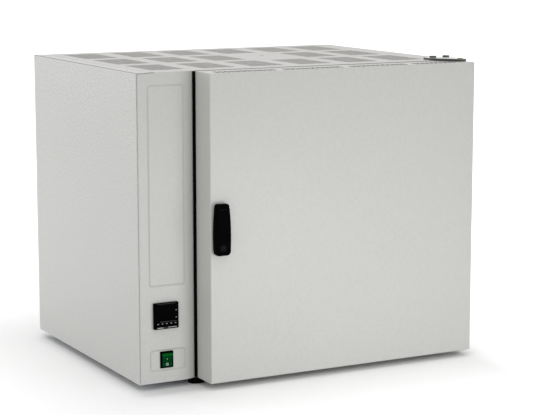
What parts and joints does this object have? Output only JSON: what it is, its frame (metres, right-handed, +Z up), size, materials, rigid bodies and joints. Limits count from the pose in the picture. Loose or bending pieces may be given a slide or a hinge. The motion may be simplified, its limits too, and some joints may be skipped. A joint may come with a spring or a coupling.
{
  "type": "dry heat sterilizer",
  "caption": "Bench-top dry heat sterilizer: insulated chamber with wire shelves behind a side-hinged door, beside a control column with a digital controller and mains switch.",
  "frame": {"origin": "on the floor under the feet, in the middle of the whole object's width and depth", "axes": "+X to the right seen from the front, +Y to the back, +Z up"},
  "size_m": [0.677, 0.586, 0.5826],
  "materials": {
    "light_paint": "semi-gloss powder coat, light grey, fine orange peel",
    "galvanised": "dull galvanised sheet",
    "stainless": "satin stainless sheet",
    "stainless_wire": "polished stainless wire",
    "zinc_steel": "bright zinc plate",
    "yellow_zinc": "yellow passivated steel",
    "bronze": "sintered bronze",
    "black_rubber": "matt black rubber",
    "black_gloss": "moulded black nylon, satin to gloss",
    "black_matt": "moulded black plastic, matt",
    "window_gloss": "smoked display window, gloss",
    "key_grey": "grey soft key caps",
    "rocker_green": "translucent green rocker with white marks",
    "mineral_wool": "pressed mineral wool",
    "heater_sheath": "heat-tinted heater sheath",
    "motor_grey": "dark grey enamel",
    "blade_nickel": "nickel-plated contact",
    "terminal_cream": "cream terminal plastic",
    "cable_black": "black cable sheath"
  },
  "bodies": {
    "cabinet": {"base_tray": "galvanised", "left_side_panel": "light_paint", "right_side_panel": "light_paint", "back_panel": "light_paint", "top_cover": "light_paint", "front_frame": "light_paint", "control_panel": "light_paint", "compartment_wall": "galvanised", "chamber_liner": "stainless", "side_insulation": "mineral_wool", "bottom_insulation": "mineral_wool", "top_insulation": "mineral_wool", "back_insulation": "mineral_wool", "shelf_runners": "stainless", "fan_baffle": "stainless", "panel_screws": "zinc_steel", "fan_motor": "motor_grey", "motor_bracket": "galvanised", "heater_ring": "heater_sheath", "temperature_probe": "stainless_wire", "overheat_thermostat": "black_matt", "vent_tube": "stainless", "door_seals": "black_rubber", "top_hinge_plate": "zinc_steel", "bottom_hinge_plate": "zinc_steel", "hinge_pins": "yellow_zinc", "hinge_bolts": "zinc_steel", "hinge_doublers": "galvanised", "latch_keeper": "zinc_steel", "controller_case": "black_matt", "controller_bezel": "black_matt", "controller_window": "window_gloss", "switch_housing": "black_gloss", "feet": "black_rubber", "foot_screws": "zinc_steel", "mains_inlet": "black_matt", "inlet_blades": "blade_nickel", "power_relay": "black_matt", "relay_heat_sink": "galvanised", "terminal_block": "terminal_cream", "wiring": "cable_black"},
    "door": {"door_shell": "light_paint", "door_inner_panel": "stainless", "door_insulation": "mineral_wool", "hinge_bushes": "bronze", "hinge_blocks": "galvanised", "latch_rose": "black_gloss"},
    "latch": {"latch_lever": "black_gloss", "latch_spindle": "zinc_steel", "latch_cam": "zinc_steel"},
    "rocker": {"switch_rocker": "rocker_green"},
    "fan": {"fan_wheel": "stainless", "fan_shaft": "stainless_wire"},
    "upper_shelf": {"upper_shelf": "stainless_wire"},
    "lower_shelf": {"lower_shelf": "stainless_wire"},
    "key_1": {"controller_key_1": "key_grey"},
    "key_2": {"controller_key_2": "key_grey"},
    "key_3": {"controller_key_3": "key_grey"},
    "key_4": {"controller_key_4": "key_grey"},
    "key_5": {"controller_key_5": "key_grey"}
  },
  "joints": [
    {"name": "door_hinge", "type": "hinge", "parent": "cabinet", "child": "door", "pos_m": [0.3265, -0.246, 0.2935], "axis": [0, 0, 1], "range_deg": [0, 120]},
    {"name": "latch_turn", "type": "hinge", "parent": "door", "child": "latch", "pos_m": [-0.2039, -0.283, 0.2633], "axis": [0, 1, 0], "range_deg": [0, 90]},
    {"name": "rocker_tip", "type": "hinge", "parent": "cabinet", "child": "rocker", "pos_m": [-0.2845, -0.2179, 0.054], "axis": [-1, 0, 0], "range_deg": [0, 18]},
    {"name": "fan_spin", "type": "hinge", "parent": "cabinet", "child": "fan", "pos_m": [0.055, 0.1672, 0.2935], "axis": [0, 1, 0], "continuous": true},
    {"name": "upper_shelf_slide", "type": "slide", "parent": "cabinet", "child": "upper_shelf", "axis": [0, -1, 0], "range_m": [0, 0.022]},
    {"name": "lower_shelf_slide", "type": "slide", "parent": "cabinet", "child": "lower_shelf", "axis": [0, -1, 0], "range_m": [0, 0.022]},
    {"name": "key_1_press", "type": "slide", "parent": "cabinet", "child": "key_1", "axis": [0, 1, 0], "range_m": [0, 0.0005], "stiffness_N_per_m": 300},
    {"name": "key_2_press", "type": "slide", "parent": "cabinet", "child": "key_2", "axis": [0, 1, 0], "range_m": [0, 0.0005], "stiffness_N_per_m": 300},
    {"name": "key_3_press", "type": "slide", "parent": "cabinet", "child": "key_3", "axis": [0, 1, 0], "range_m": [0, 0.0005], "stiffness_N_per_m": 300},
    {"name": "key_4_press", "type": "slide", "parent": "cabinet", "child": "key_4", "axis": [0, 1, 0], "range_m": [0, 0.0005], "stiffness_N_per_m": 300},
    {"name": "key_5_press", "type": "slide", "parent": "cabinet", "child": "key_5", "axis": [0, 1, 0], "range_m": [0, 0.0005], "stiffness_N_per_m": 300}
  ]
}
